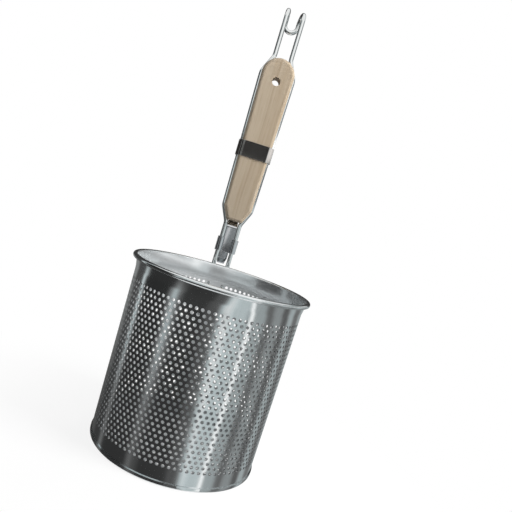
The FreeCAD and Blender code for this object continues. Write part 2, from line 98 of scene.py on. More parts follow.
# %% [markdown]
# Shader maths
#
# A material is a graph of nodes. Wired one by one, even a short formula takes a page. This class wraps
# one output socket, so that the formula is written as Python and the Math nodes appear by themselves.
# Every other node is made by the one method `node`, with its settings first and then its inputs.

# %% A socket that can be calculated with
class Signal:
    """An output socket of a node tree. Operators on it add Math nodes."""

    def __init__(self, tree, socket=None):
        self.tree = tree
        self.socket = socket

    def node(self, kind, settings=None, inputs=None, output=0):
        """Add a node, apply its settings, then set or link its inputs, and return one of its outputs."""
        made = self.tree.nodes.new(kind)
        for name, value in (settings or {}).items():
            setattr(made, name, value)
        for name, value in (inputs or {}).items():
            if isinstance(value, Signal):
                self.tree.links.new(value.socket, made.inputs[name])
            else:
                made.inputs[name].default_value = value
        return Signal(self.tree, made.outputs[output] if len(made.outputs) else None)

    def maths(self, operation, first, second=0.0):
        return self.node("ShaderNodeMath", {"operation": operation}, {0: first, 1: second})

    def __add__(self, other):
        return self.maths("ADD", self, other)

    def __sub__(self, other):
        return self.maths("SUBTRACT", self, other)

    def __mul__(self, other):
        return self.maths("MULTIPLY", self, other)

    def __rsub__(self, other):
        return self.maths("SUBTRACT", other, self)

    def __abs__(self):
        return self.maths("ABSOLUTE", self)

    __radd__ = __add__
    __rmul__ = __mul__

    def above(self, low, high):
        """0 below the first value, 1 above the second, and smooth between them."""
        return self.node("ShaderNodeMapRange", {"interpolation_type": "SMOOTHSTEP"},
                         {"Value": self, "From Min": low, "From Max": high})

    def blend(self, dark, light):
        """A colour between two others, by this value. Sockets 6, 7 and 2 are the Mix node's colours."""
        return self.node("ShaderNodeMix", {"data_type": "RGBA"}, {0: self, 6: dark, 7: light}, output=2)

# %% [markdown]
# A material to start from
#
# Real finishes are never even, so each material here starts from the same few things: the Principled
# shader, the place on the piece, and noise that can be stretched one way. The place is read from Object
# coordinates. All pieces stand where they belong, so a pattern runs on from one to the next.

# %% First nodes of a material
def new_material(name):
    """An empty material: its start signal, its Principled shader and the place on the piece."""
    material = bpy.data.materials.new(name)
    material.use_nodes = True
    tree = material.node_tree
    shader = tree.nodes["Principled BSDF"]
    start = Signal(tree)
    place = start.node("ShaderNodeTexCoord", output="Object")
    return material, start, shader, place


def along(start, place, axis):
    """How far a place is along X, Y or Z."""
    return start.node("ShaderNodeSeparateXYZ", {}, {"Vector": place}, output=axis)


def stretched(start, place, stretch):
    """The place, scaled by a different amount along each axis, to stretch a pattern."""
    return start.node("ShaderNodeMapping", {}, {"Vector": place, "Scale": stretch})


def noise(start, place, scale, detail=2.0, roughness=0.5):
    """A cloudy pattern between 0 and 1. A higher scale makes finer clouds."""
    return start.node("ShaderNodeTexNoise", {}, {"Vector": place, "Scale": scale, "Detail": detail,
                                                 "Roughness": roughness})


def bump(start, height, strength, distance):
    """A normal that follows a height."""
    return start.node("ShaderNodeBump", {}, {"Strength": strength, "Distance": distance, "Height": height})


def wire_up(start, shader, **signals):
    """Link signals to the shader's inputs; an underscore in a name stands for a space."""
    for name, signal in signals.items():
        start.tree.links.new(signal.socket, shader.inputs[name.replace("_", " ")])

# %% [markdown]
# Three finishes on one sheet
#
# The sheet is buffed only after it is rolled and welded, and the wheel reaches the outside and the rim.
# The inside keeps the satin face of the mill: it scatters light, so it is lit by the lamps instead of
# showing the room. The walls of the holes are a third finish: a punch tears the last part of the steel,
# and torn steel is rough. Their dark colour is painted shade, for the shade that falls inside the holes.
# The three are told apart by where they are: the distance from the basket's axis says inside, outside
# or between, and the height says how far up.

# %% Masks for the satin inside and the torn hole walls with painted shade
WALL_OUTSIDE = 70.0 * MM
SHEET = 0.8 * MM
WALL_INSIDE = WALL_OUTSIDE - SHEET
PLAIN_TOP = 19.0 * MM
LAST_ROW = wall_high.z - PLAIN_TOP
BEAD_RADIUS = 1.9 * MM
FLARE_HEIGHT = 9.0 * MM
FLARE_FROM = wall_high.z - BEAD_RADIUS - FLARE_HEIGHT
FLARE_SLOPE = 0.17
FACE_MARGIN = 0.2 * MM
HOLE_WALL_MARGIN = 0.04 * MM
LIP_CLEAR = 5 * MM
ROW_CLEAR = 2 * MM
BUFFED_AT_RIM = 0.65


def finish_masks(start, place):
    """Two masks: the satin inside of the basket, and the torn walls of its holes, which also get painted
    shade.
    """
    flat = start.node("ShaderNodeVectorMath", {"operation": "MULTIPLY"}, {0: place, 1: (1.0, 1.0, 0.0)})
    radius = start.node("ShaderNodeVectorMath", {"operation": "LENGTH"}, {0: flat}, output="Value")
    height = along(start, place, "Z")
    flared = start.maths("MAXIMUM", height - FLARE_FROM, 0.0) * FLARE_SLOPE
    outside = (radius - flared).above(WALL_INSIDE + FACE_MARGIN, WALL_OUTSIDE - FACE_MARGIN)
    satin = (1.0 - outside) * (1.0 - BUFFED_AT_RIM * height.above(LAST_ROW, FLARE_FROM))
    off_inside = radius.above(WALL_INSIDE + HOLE_WALL_MARGIN, WALL_INSIDE + 2 * HOLE_WALL_MARGIN)
    near_outside = radius.above(WALL_OUTSIDE - 2 * HOLE_WALL_MARGIN, WALL_OUTSIDE - HOLE_WALL_MARGIN)
    above_lip = height.above(LIP_CLEAR, LIP_CLEAR + ROW_CLEAR / 2)
    above_rows = height.above(LAST_ROW + ROW_CLEAR, LAST_ROW + 1.5 * ROW_CLEAR)
    torn_and_shaded = off_inside * (1.0 - near_outside) * above_lip * (1.0 - above_rows)
    return satin, torn_and_shaded

# %% [markdown]
# Polished stainless steel
#
# Stainless sheet is rolled, blanked and then buffed, so it reflects almost like a mirror but never
# evenly. Three things tell it from chrome: a faint cool grey, a gloss that changes in soft patches
# where the buffing wheel passed, and fine lines that run the way it was rolled. A sheet full of holes
# is also a little wavy, and a pressed strip is never quite flat, so its face shows one soft upright
# highlight. All of it is low in contrast, because the reflections do most of the work.

# %% Steel
PATCH_SCALE = 38.0
LINE_SCALE = 1100.0
WAVE_SCALE = 60.0
WORN_TONE = 0.93
EVEN_GLOSS, PATCH_GLOSS, LINE_GLOSS = 0.75, 0.3, 0.2
SATIN_GREY = (0.44, 0.45, 0.46, 1.0)
SATIN_TONE = 0.6
SATIN_DULL = 0.8
# Painted shade: the walls of the holes get a base colour darker than any steel, for the shade inside the
# holes.
HOLE_WALL_SHADE = (0.10, 0.10, 0.10, 1.0)
HOLE_WALL_SHADE_SHARE = 0.8
TORN_ROUGH = 0.3
WAVE_STRENGTH = 0.3
UPRIGHT_GRAIN = (1.0, 1.0, 0.06)
CROSS_GRAIN = (0.06, 1.0, 1.0)


def steel(name, colour, gloss, grain, satin_gloss=None, wave=0.0, bow=0.0):
    """Polished steel: patches of gloss and fine lines along the grain.

    A sheet has a satin inside and a waviness, whose height is given. A strip has a bow across it.
    """
    material, start, shader, place = new_material(name)
    patches = noise(start, place, PATCH_SCALE)
    lines = noise(start, stretched(start, place, grain), LINE_SCALE, roughness=0.6)
    worn = [WORN_TONE * part for part in colour]
    shader.inputs["Metallic"].default_value = 1.0
    rough = gloss * (EVEN_GLOSS + PATCH_GLOSS * patches + LINE_GLOSS * lines)
    tone = (patches * 0.5 + lines * 0.5).above(0.3, 0.7).blend((*worn, 1.0), (*colour, 1.0))
    if satin_gloss:
        satin, torn_and_shaded = finish_masks(start, place)
        rough = rough + (satin_gloss - gloss) * satin + TORN_ROUGH * torn_and_shaded
        tone = (SATIN_TONE * satin).blend(tone, SATIN_GREY)
        # Painted shade: the hole walls are darkened towards near black.
        tone = (HOLE_WALL_SHADE_SHARE * torn_and_shaded).blend(tone, HOLE_WALL_SHADE)
        wire_up(start, shader, Metallic=1.0 - SATIN_DULL * satin)
    wire_up(start, shader, Roughness=rough, Base_Color=tone)
    if wave:
        waviness = noise(start, place, WAVE_SCALE, 1.0)
        wire_up(start, shader, Normal=bump(start, waviness, WAVE_STRENGTH, wave))
    if bow:
        across = along(start, place, "X")
        wire_up(start, shader, Normal=bump(start, across * across * -bow, 1.0, 1.0))
    return material


sheet_steel = steel("polished_sheet", (0.77, 0.80, 0.81), 0.13, UPRIGHT_GRAIN, satin_gloss=0.34,
                    wave=0.3 * MM)
wire_steel = steel("polished_wire", (0.80, 0.82, 0.82), 0.10, UPRIGHT_GRAIN)
hook_steel = steel("pressed_strip", (0.60, 0.61, 0.63), 0.10, CROSS_GRAIN, bow=4.3)
# Painted reflection: the band's steel is darker and warmer than the rest, for the dark reflection on its
# face.
band_steel = steel("strap_strip", (0.50, 0.48, 0.46), 0.12, CROSS_GRAIN)
print("steels:", sheet_steel.name, wire_steel.name, hook_steel.name, band_steel.name)

# %% [markdown]
# The wood
#
# The grip is a smooth pale hardwood with straight grain. Grain is a growth layer seen from the side:
# long, nearly parallel lines that wander a little, with short fine pores along them. Two stretched
# noises give the lines and the pores, and a third lets the tone drift over the whole block. One darker
# line wanders down the middle. The round top is cut across, so it soaks up more and looks darker.

# %% Wood
WANDER_SCALE = 26.0
GROWTH_SCALE = 520.0
DRIFT_SCALE = 48.0
PORE_SCALE = 1900.0
WANDER = 5 * MM
MIDDLE_WANDER = 3 * MM
MIDDLE_LINE = 0.8 * MM
END_GRAIN = 3 * MM
GRAIN_HEIGHT = 0.05 * MM
LATE_WOOD = (0.372, 0.286, 0.192, 1.0)
EARLY_WOOD = (0.462, 0.382, 0.284, 1.0)
PORE_BROWN = (0.190, 0.128, 0.076, 1.0)
PORE_TONE = 0.22
MIDDLE_TONE = 0.18
END_BROWN = (0.210, 0.140, 0.085, 1.0)
END_TONE = 0.3
SMOOTH_ROUGH, FIGURE_ROUGH, PORE_ROUGH = 0.48, 0.14, 0.1
GRAIN_STRENGTH = 0.15
COAT_WEIGHT = 0.35
COAT_ROUGH = 0.28


def hardwood(name):
    """Pale hardwood with fine grain along Z, darker where it is cut across."""
    material, start, shader, place = new_material(name)
    across, height = along(start, place, "X"), along(start, place, "Z")
    bend = noise(start, stretched(start, place, (1.0, 1.0, 0.5)), WANDER_SCALE, 1.0)
    wander = start.node("ShaderNodeCombineXYZ", {}, {
        "X": across + bend * WANDER, "Y": 0.6 * along(start, place, "Y"), "Z": height * 0.03})
    lines = noise(start, wander, GROWTH_SCALE, 3.0, 0.6)
    drift = noise(start, stretched(start, place, (1.0, 1.0, 0.2)), DRIFT_SCALE)
    pores = noise(start, stretched(start, place, (1.0, 1.0, 0.05)), PORE_SCALE, 1.0)
    figure = (lines * 0.55 + drift * 0.45).above(0.32, 0.68)
    pore = pores.above(0.60, 0.75) * PORE_TONE
    off_middle = abs(across + (bend - 0.5) * MIDDLE_WANDER)
    middle = MIDDLE_TONE * (1.0 - off_middle.above(0.0, MIDDLE_LINE))
    high_end = height.above(grip_high.z - END_GRAIN, grip_high.z)
    tone = figure.blend(LATE_WOOD, EARLY_WOOD)
    tone = (pore + middle).blend(tone, PORE_BROWN)
    tone = (high_end * END_TONE).blend(tone, END_BROWN)
    rough = SMOOTH_ROUGH + FIGURE_ROUGH * figure + PORE_ROUGH * pore
    shader.inputs["Coat Weight"].default_value = COAT_WEIGHT
    shader.inputs["Coat Roughness"].default_value = COAT_ROUGH
    wire_up(start, shader, Base_Color=tone, Roughness=rough,
            Normal=bump(start, lines - pore, GRAIN_STRENGTH, GRAIN_HEIGHT))
    return material


grip_wood = hardwood("pale_hardwood")
print("wood:", grip_wood.name)

# %% [markdown]
# From mesh to piece
#
# Each piece is one mesh whose object stays at the origin. Faces meet smoothly unless they turn by more
# than a set angle, and then the edge stays crisp.

# %% Finish a piece
CRISP_ANGLE = math.radians(38)


def finish_piece(name, bm, material, replaced):
    """Make an object of a bmesh, shade it, and let it stand for the CAD node named."""
    mesh = bpy.data.meshes.new(name)
    bm.to_mesh(mesh)
    bm.free()
    mesh.shade_smooth()
    mesh.set_sharp_from_angle(angle=CRISP_ANGLE)
    mesh.materials.append(material)
    piece = bpy.data.objects.new(name, mesh)
    bpy.context.scene.collection.objects.link(piece)
    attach(piece, "root")
    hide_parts(replaced)
    mesh.calc_loop_triangles()
    print(name, len(mesh.loop_triangles), "triangles")
    return piece


def made(result, kind):
    """The new vertices, edges or faces in an operator's result."""
    return [item for item in result["geom"] if isinstance(item, kind)]


def extrude_ring(bm, edges):
    """Extrude a ring of edges in place, and return its new vertices and edges."""
    new = bmesh.ops.extrude_edge_only(bm, edges=edges)
    verts = made(new, bmesh.types.BMVert)
    fresh = set(verts)
    return verts, [edge for edge in made(new, bmesh.types.BMEdge) if set(edge.verts) <= fresh]

# %% [markdown]
# Perforated sheet
#
# A press punches the sheet flat: round holes of 2.7 mm in rows that are shifted by half a pitch. The
# mesh copies that. A grid is laid out with two columns to each hole, and every second upright edge is
# dissolved, shifted from row to row, which leaves cells like bricks. Each brick is inset, its inner
# outline is pulled onto a circle, and the middle is taken out. Ten corners make a hole that still looks
# round, and nearly 3,000 of them keep the wall under 200,000 triangles.

# %% Sizes of the perforation
HOLE_RADIUS = 1.35 * MM
HOLE_CORNERS = 10
HOLES_ROUND = 96
FIRST_ROW = 15.3 * MM
ROWS = 31
PITCH = 2 * math.pi * WALL_INSIDE / HOLES_ROUND
ROW_HEIGHT = (LAST_ROW - FIRST_ROW) / (ROWS - 1)
BRICK_INSET = 0.25 * MM
print("pitch", round(PITCH / MM, 2), "mm, rows", round(ROW_HEIGHT / MM, 2), "mm apart")

# %% Punch a flat sheet
def brick_sheet(columns, rows, width, height):
    """A flat sheet in the XY plane, divided into staggered bricks two columns wide."""
    bm = bmesh.new()
    bmesh.ops.create_grid(bm, x_segments=columns, y_segments=rows, size=0.5)
    bmesh.ops.scale(bm, vec=(width, height, 1.0), verts=bm.verts)
    step_x, step_y = width / columns, height / rows
    upright, dropped = [], []
    for edge in bm.edges:
        low, high = sorted(edge.verts, key=lambda vert: vert.co.y)
        if high.co.y - low.co.y < step_y / 2:
            continue
        column = round((low.co.x + width / 2) / step_x)
        row = round((low.co.y + height / 2) / step_y)
        if not edge.is_boundary and (column + row) % 2:
            dropped.append(edge)
        else:
            upright.append(edge)
    bmesh.ops.dissolve_edges(bm, edges=dropped, use_verts=False)
    bmesh.ops.bisect_edges(bm, edges=upright, cuts=2)
    return bm


def punch(bm, bricks):
    """Open a round hole in the middle of each brick."""
    bmesh.ops.inset_individual(bm, faces=bricks, thickness=BRICK_INSET, use_even_offset=True)
    corner_turn = 2 * math.pi / HOLE_CORNERS
    for brick in bricks:
        centre = brick.calc_center_bounds()
        for vert in brick.verts:
            way = math.atan2(vert.co.x - centre.x, vert.co.y - centre.y)
            way = round(way / corner_turn) * corner_turn
            vert.co = centre + HOLE_RADIUS * Vector((math.sin(way), math.cos(way), 0.0))
    bmesh.ops.delete(bm, geom=bricks, context="FACES_ONLY")

# %% [markdown]
# The wall
#
# The punched sheet is rolled into a cylinder and welded along the back, where a strip is left plain.
# The top edge is flared a little and curled outwards and down into a hollow bead, so that no sharp edge
# is left to the hand. Rolling is a plain change of place: the distance along the sheet becomes a turn.
# The edges are then pulled ring by ring, and the sheet gets its thickness last, outwards.

# %% Roll the wall
SEAM_GAP = 6.0 * MM
SEAM_MERGE = 0.01 * MM

sheet_width = 2 * math.pi * WALL_INSIDE
sheet_height = ROWS * ROW_HEIGHT
low_edge = FIRST_ROW - ROW_HEIGHT / 2
wall = brick_sheet(2 * HOLES_ROUND, ROWS, sheet_width, sheet_height)
wall_bricks = [face for face in wall.faces if len(face.verts) >= HOLE_CORNERS
               and abs(face.calc_center_bounds().x) < sheet_width / 2 - SEAM_GAP]
punch(wall, wall_bricks)
for vert in wall.verts:
    turn = vert.co.x / WALL_INSIDE
    up = vert.co.y + sheet_height / 2
    vert.co = (WALL_INSIDE * math.sin(turn), -WALL_INSIDE * math.cos(turn), low_edge + up)
bmesh.ops.remove_doubles(wall, verts=wall.verts, dist=SEAM_MERGE)
print("holes in the wall", len(wall_bricks))

# %% Pull out the foot, the flare and the rolled bead
BEAD_TURN = math.radians(285)
BEAD_STEPS = 18
BEND_EASE = 1 * MM


def pull_ring(bm, edges, radius, height):
    """Pull a ring of open edges to a new radius and height, and return the new ring."""
    verts, ring = extrude_ring(bm, edges)
    wider = radius / verts[0].co.xy.length
    bmesh.ops.scale(bm, verts=verts, vec=(wider, wider, 1.0))
    bmesh.ops.translate(bm, verts=verts, vec=(0.0, 0.0, height - verts[0].co.z))
    return ring


def open_ring(bm, height):
    """The open edges at a height."""
    return [edge for edge in bm.edges if edge.is_boundary
            and all(abs(vert.co.z - height) < 0.001 * MM for vert in edge.verts)]


pull_ring(wall, open_ring(wall, low_edge), WALL_INSIDE, wall_low.z)
ring = pull_ring(wall, open_ring(wall, low_edge + sheet_height), WALL_INSIDE, FLARE_FROM - BEND_EASE)
bead_centre = Vector((wall_high.x - BEAD_RADIUS, 0.0, wall_high.z - BEAD_RADIUS))
run, rise = bead_centre.x - WALL_INSIDE, bead_centre.z - FLARE_FROM
lean = math.atan2(run, rise) - math.asin(BEAD_RADIUS / math.hypot(run, rise))
ring = pull_ring(wall, ring, WALL_INSIDE + math.tan(lean) * BEND_EASE, FLARE_FROM + BEND_EASE)
for step in range(BEAD_STEPS + 1):
    turn = math.pi - lean - BEAD_TURN * step / BEAD_STEPS
    ring = pull_ring(wall, ring, bead_centre.x + BEAD_RADIUS * math.cos(turn),
                     bead_centre.z + BEAD_RADIUS * math.sin(turn))
bmesh.ops.recalc_face_normals(wall, faces=wall.faces)
bmesh.ops.solidify(wall, geom=wall.faces, thickness=SHEET)
finish_piece("wall_sheet", wall, sheet_steel, "basket_wall")

# %% [markdown]
# The bottom disc
#
# The bottom is blanked from the same sheet, with a plain ring round the field of holes. Its edge is
# folded up round the foot of the wall, which shows from outside as one fine line. The blank is cut from
# the staggered sheet by planes that touch its round outline one after another, as a cook trims pastry
# round a plate. Only then are the holes of the field punched and the edge folded.

# %% Blank and punch the disc
DISC_FIELD = 60.0 * MM
LIP_BEND = 1.2 * MM
CUT_MERGE = 0.001 * MM

flat_radius = disc_high.x - LIP_BEND
disc_columns = 2 * math.ceil(2 * flat_radius / PITCH)
disc_rows = 2 * math.ceil(flat_radius / ROW_HEIGHT) + 1
disc = brick_sheet(disc_columns, disc_rows, disc_columns * PITCH / 2, disc_rows * ROW_HEIGHT)
for step in range(HOLES_ROUND):
    turn = 2 * math.pi * step / HOLES_ROUND
    way = Vector((math.sin(turn), math.cos(turn), 0.0))
    bmesh.ops.bisect_plane(disc, geom=disc.verts[:] + disc.edges[:] + disc.faces[:], dist=CUT_MERGE,
                           plane_co=way * flat_radius, plane_no=way, clear_outer=True)
disc_bricks = [face for face in disc.faces if len(face.verts) >= HOLE_CORNERS
               and face.calc_center_bounds().length < DISC_FIELD - HOLE_RADIUS]
punch(disc, disc_bricks)
print("holes in the bottom", len(disc_bricks))

# %% Fold the disc's edge
LIP_STEPS = 5

ring = [edge for edge in disc.edges
        if edge.is_boundary and edge.verts[0].co.length > DISC_FIELD + HOLE_RADIUS]
for step in range(1, LIP_STEPS + 1):
    turn = math.pi / 2 * step / LIP_STEPS
    ring = pull_ring(disc, ring, disc_high.x - LIP_BEND * (1 - math.sin(turn)),
                     LIP_BEND * (1 - math.cos(turn)))
pull_ring(disc, ring, disc_high.x, disc_high.z)
bmesh.ops.recalc_face_normals(disc, faces=disc.faces)
bmesh.ops.solidify(disc, geom=disc.faces, thickness=SHEET)
finish_piece("bottom_sheet", disc, sheet_steel, "base_disc")

# %% [markdown]
# The handle wire
#
# One length of 4 mm wire makes the whole handle. It starts on the back of the wall, steps out over the
# bead, follows the wood up, arches backwards over the top and comes back in a U to its other side.
# A wire bender makes straight runs and round bends, and the mesh does the same: a round section is
# extruded along each run and spun through each bend. One half is made, and the other is its mirror.

# %% Bend one half of the wire
WIRE_RADIUS = 2.0 * MM
WIRE_SIDES = 24
ROD_BEND = 10.0 * MM
BEND_STEP = 9
FEWEST_STEPS = 2


def push(bm, ring, way):
    """Extrude the section along a straight run."""
    verts, ring = extrude_ring(bm, ring)
    bmesh.ops.translate(bm, verts=verts, vec=way)
    return ring


def bend(bm, ring, centre, axis, angle):
    """Spin the section through a bend."""
    steps = max(FEWEST_STEPS, round(math.degrees(angle) / BEND_STEP))
    spun = bmesh.ops.spin(bm, geom=ring, cent=centre, axis=axis, angle=angle, steps=steps, use_merge=False)
    return [item for item in spun["geom_last"] if isinstance(item, bmesh.types.BMEdge)]


def follow(bm, ring, corners, radius):
    """Push and bend the section along corners, and return its ring at the last one."""
    here = corners[0]
    for k in range(1, len(corners) - 1):
        before = (corners[k - 1] - corners[k]).normalized()
        after = (corners[k + 1] - corners[k]).normalized()
        half = before.angle(after) / 2
        first = corners[k] + before * (radius / math.tan(half))
        centre = corners[k] + (before + after).normalized() * (radius / math.sin(half))
        ring = push(bm, ring, first - here)
        ring = bend(bm, ring, centre, after.cross(before), math.pi - 2 * half)
        here = corners[k] + after * (radius / math.tan(half))
    return push(bm, ring, corners[-1] - here)


# %% Places along the wire
ROD_GAP = 6.8 * MM
HOOK_GAP = 7.7 * MM
TAIL_GAP = 6.0 * MM
HOOK_DEPTH = 15.0 * MM
HOOK_DROP = 18.8 * MM
LOW_SHOULDER = 13.3 * MM
HIGH_SHOULDER = 15.1 * MM
GRIP_TAPER = 12.5 * MM
GRIP_ARCH = 16.5 * MM
STEP_HEIGHT = 10.0 * MM
BEAD_RUN = 9.0 * MM
FIT = 0.06 * MM
END_EASE = 0.5 * MM

rod_plane = (grip_low.y + grip_high.y) / 2
rod_seat = math.sqrt((WALL_OUTSIDE + WIRE_RADIUS + FIT) ** 2 - ROD_GAP ** 2)
step_top = wall_high.z - BEAD_RUN
crown_height = wire_high.z - WIRE_RADIUS - HOOK_DEPTH / 2
tail_height = wire_high.z - HOOK_DROP + TAIL_GAP + WIRE_RADIUS
rod_corners = [Vector(corner) for corner in (
    (ROD_GAP, rod_seat, wire_low.z + END_EASE),
    (ROD_GAP, rod_seat, step_top - STEP_HEIGHT),
    (ROD_GAP, rod_plane, step_top),
    (ROD_GAP, rod_plane, grip_low.z - WIRE_RADIUS),
    (LOW_SHOULDER, rod_plane, grip_low.z + GRIP_TAPER),
    (HIGH_SHOULDER, rod_plane, grip_high.z - GRIP_ARCH + WIRE_RADIUS),
    (HOOK_GAP, rod_plane, grip_high.z + WIRE_RADIUS / 2),
    (HOOK_GAP, rod_plane, crown_height))]
crown_start = rod_corners[-1]
crown_end = Vector((TAIL_GAP, rod_plane + HOOK_DEPTH, crown_height))
print("rods", round(rod_plane / MM, 2), "mm behind the axis")

# %% Make the wire
MIRROR_MERGE = 0.05 * MM

wire = bmesh.new()
end = rod_corners[0] - Vector((0.0, 0.0, END_EASE))
bmesh.ops.create_circle(wire, cap_ends=True, segments=WIRE_SIDES, radius=WIRE_RADIUS - END_EASE,
                        matrix=Matrix.Translation(end))
ring = push(wire, wire.edges[:], rod_corners[0] - end)
rim = {vert for edge in ring for vert in edge.verts}
wider = WIRE_RADIUS / (WIRE_RADIUS - END_EASE)
bmesh.ops.scale(wire, vec=(wider, wider, 1.0), verts=list(rim), space=Matrix.Translation(-rod_corners[0]))
ring = follow(wire, ring, rod_corners, ROD_BEND)
crown_axis = Vector((0.0, 0.0, 1.0)).cross(crown_end - crown_start).normalized()
ring = bend(wire, ring, (crown_start + crown_end) / 2, crown_axis, math.pi)
ring = push(wire, ring, Vector((0.0, 0.0, tail_height - crown_height)))
bend(wire, ring, Vector((0.0, crown_end.y, tail_height)), Vector((0.0, 1.0, 0.0)), math.pi / 2)
bmesh.ops.mirror(wire, geom=wire.verts[:] + wire.edges[:] + wire.faces[:], axis="X",
                 merge_dist=MIRROR_MERGE)
bmesh.ops.recalc_face_normals(wire, faces=wire.faces)
finish_piece("bent_wire", wire, wire_steel, "handle_wire")

# %% [markdown]
# Band and pot hook
#
# Both are sheared from strip, so their edges are square to the eye but never knife-sharp: each catches
# a thin line of light. The engineering nodes have the right folds already. A copy of each is cleaned up
# into whole faces, and its sharp edges are eased with a narrow bevel. The bevels would pull the shading
# of the flat faces with them, so a weighted normal keeps those flat.

# %% Ease the edges of a pressed part
COPY_MERGE = 0.002 * MM
FLAT_ANGLE = math.radians(1)
SHARP_ANGLE = math.radians(50)
FACE_WEIGHT = 100


def eased_copy(name, node, material, ease):
    """A copy of a CAD node, merged into whole faces, with its sharp edges bevelled."""
    bm = bmesh.new()
    bm.from_mesh(nodes[node].data)
    bmesh.ops.remove_doubles(bm, verts=bm.verts, dist=COPY_MERGE)
    bmesh.ops.dissolve_limit(bm, angle_limit=FLAT_ANGLE, verts=bm.verts, edges=bm.edges)
    sharp = [edge for edge in bm.edges
             if len(edge.link_faces) == 2 and edge.calc_face_angle() > SHARP_ANGLE]
    bmesh.ops.bevel(bm, geom=sharp, offset=ease, offset_type="OFFSET", affect="EDGES", segments=2,
                    profile=0.5, material=-1)
    piece = finish_piece(name, bm, material, node)
    even = piece.modifiers.new("even_flats", "WEIGHTED_NORMAL")
    even.weight = FACE_WEIGHT
    even.keep_sharp = True


eased_copy("strap_band", "grip_band", band_steel, 0.15 * MM)
eased_copy("folded_hook", "pot_hook", hook_steel, 0.2 * MM)

# %% [markdown]
# The grip
#
# The engineering node has the tapered foot, the round top, the rounded edges, the grooves that the wire
# sits in and the hanging hole. It only needs its wood.

# %% Dress the grip
nodes["wood_grip"].data.materials.clear()
nodes["wood_grip"].data.materials.append(grip_wood)
print("grip", round((grip_high.z - grip_low.z) / MM, 1), "mm high")

# %% [markdown]
# The studio
#
# Polished steel shows what stands round it. A white room alone would make it milky, so a product
# photographer hangs a curved screen round the piece, with tall dark and bright bands that have soft
# edges, and they show as upright bands on a cylinder. All of that is stage: it isn't part of the
# object.

# %% Stage pieces
WHITE = (1.0, 1.0, 1.0, 1.0)
BLACK = (0.0, 0.0, 0.0, 1.0)


def stage_piece(name, bm, material):
    """An object of the stage from a bmesh."""
    mesh = bpy.data.meshes.new(name)
    bm.to_mesh(mesh)
    bm.free()
    mesh.materials.append(material)
    piece = bpy.data.objects.new(name, mesh)
    bpy.context.scene.collection.objects.link(piece)
    return piece


def stage_material(name):
    """An empty stage material, its start signal and the place on the piece."""
    material = bpy.data.materials.new(name)
    material.use_nodes = True
    material.node_tree.nodes.clear()
    start = Signal(material.node_tree)
    return material, start, start.node("ShaderNodeTexCoord", output="Object")


def seen_by(start, *kinds):
    """1 for the rays named, such as Is Camera Ray, else 0."""
    total = start.node("ShaderNodeLightPath", output=kinds[0])
    for kind in kinds[1:]:
        total = start.maths("MAXIMUM", total, start.node("ShaderNodeLightPath", output=kind))
    return total

# %% [markdown]
# Floor and room
#
# A catalogue picture has a white ground with a soft shadow at the foot. The floor is plain paper for
# the lamps and mostly glow for the camera, so the ground comes out white and the shadow only faint. It
# is open from below, for a view of the bottom. The room is white to the camera, to mirrors and to
# glass, and dim to everything else, so that the lamps alone decide how bright the wood is.

# %% Floor
FLOOR_SIZE = 8.0
FLOOR_DROP = 0.2 * MM
PAPER = (0.85, 0.85, 0.85, 1.0)
GLOW_AT_FOOT = 0.86
SHADOW_FROM, SHADOW_TO = 0.08, 0.26

floor_material, start, place = stage_material("pale_floor")
distance = start.node("ShaderNodeVectorMath", {"operation": "LENGTH"}, {0: place}, output="Value")
glow_share = GLOW_AT_FOOT + (1.0 - GLOW_AT_FOOT) * distance.above(SHADOW_FROM, SHADOW_TO)
paper = start.node("ShaderNodeBsdfDiffuse", {}, {"Color": PAPER})
white = start.node("ShaderNodeEmission", {}, {"Color": WHITE})
clear = start.node("ShaderNodeBsdfTransparent")
from_below = start.node("ShaderNodeNewGeometry", output="Backfacing")
mixed = start.node("ShaderNodeMixShader", {}, {
    0: seen_by(start, "Is Camera Ray") * glow_share, 1: paper, 2: white})
mixed = start.node("ShaderNodeMixShader", {}, {0: from_below, 1: mixed, 2: clear})
start.node("ShaderNodeOutputMaterial", {}, {"Surface": mixed})
floor_mesh = bmesh.new()
bmesh.ops.create_grid(floor_mesh, x_segments=1, y_segments=1, size=FLOOR_SIZE / 2,
                      matrix=Matrix.Translation((0.0, 0.0, -FLOOR_DROP)))
floor = stage_piece("floor", floor_mesh, floor_material)
floor.visible_glossy = False
print("floor", FLOOR_SIZE, "m across")

# %% Room
DIM_ROOM = 0.12

world = bpy.data.worlds.new("room")
world.use_nodes = True
world.node_tree.nodes.clear()
room = Signal(world.node_tree)
seen = seen_by(room, "Is Camera Ray", "Is Glossy Ray", "Is Transmission Ray")
level = DIM_ROOM + (1.0 - DIM_ROOM) * seen
background = room.node("ShaderNodeBackground", {}, {"Color": WHITE, "Strength": level})
room.node("ShaderNodeOutputWorld", {}, {"Surface": background})
bpy.context.scene.world = world

# %% [markdown]
# The curved screen
#
# The screen is seen by reflections only. A band is a stretch of turn round the piece, with a soft edge
# and a brightness. The cylinder's wall reflects the low half of the screen, where each band may lean,
# and its streaks then run as slanting as in the photograph. The handle is higher and reflects the high
# half, so that half is laid out in soft boxes. A box starts at a height and holds until the next one
# of the same turn. The list is read in order, and a later row covers an earlier one. A faint cool tint
# lies on the middling greys alone, so that highlights stay white.

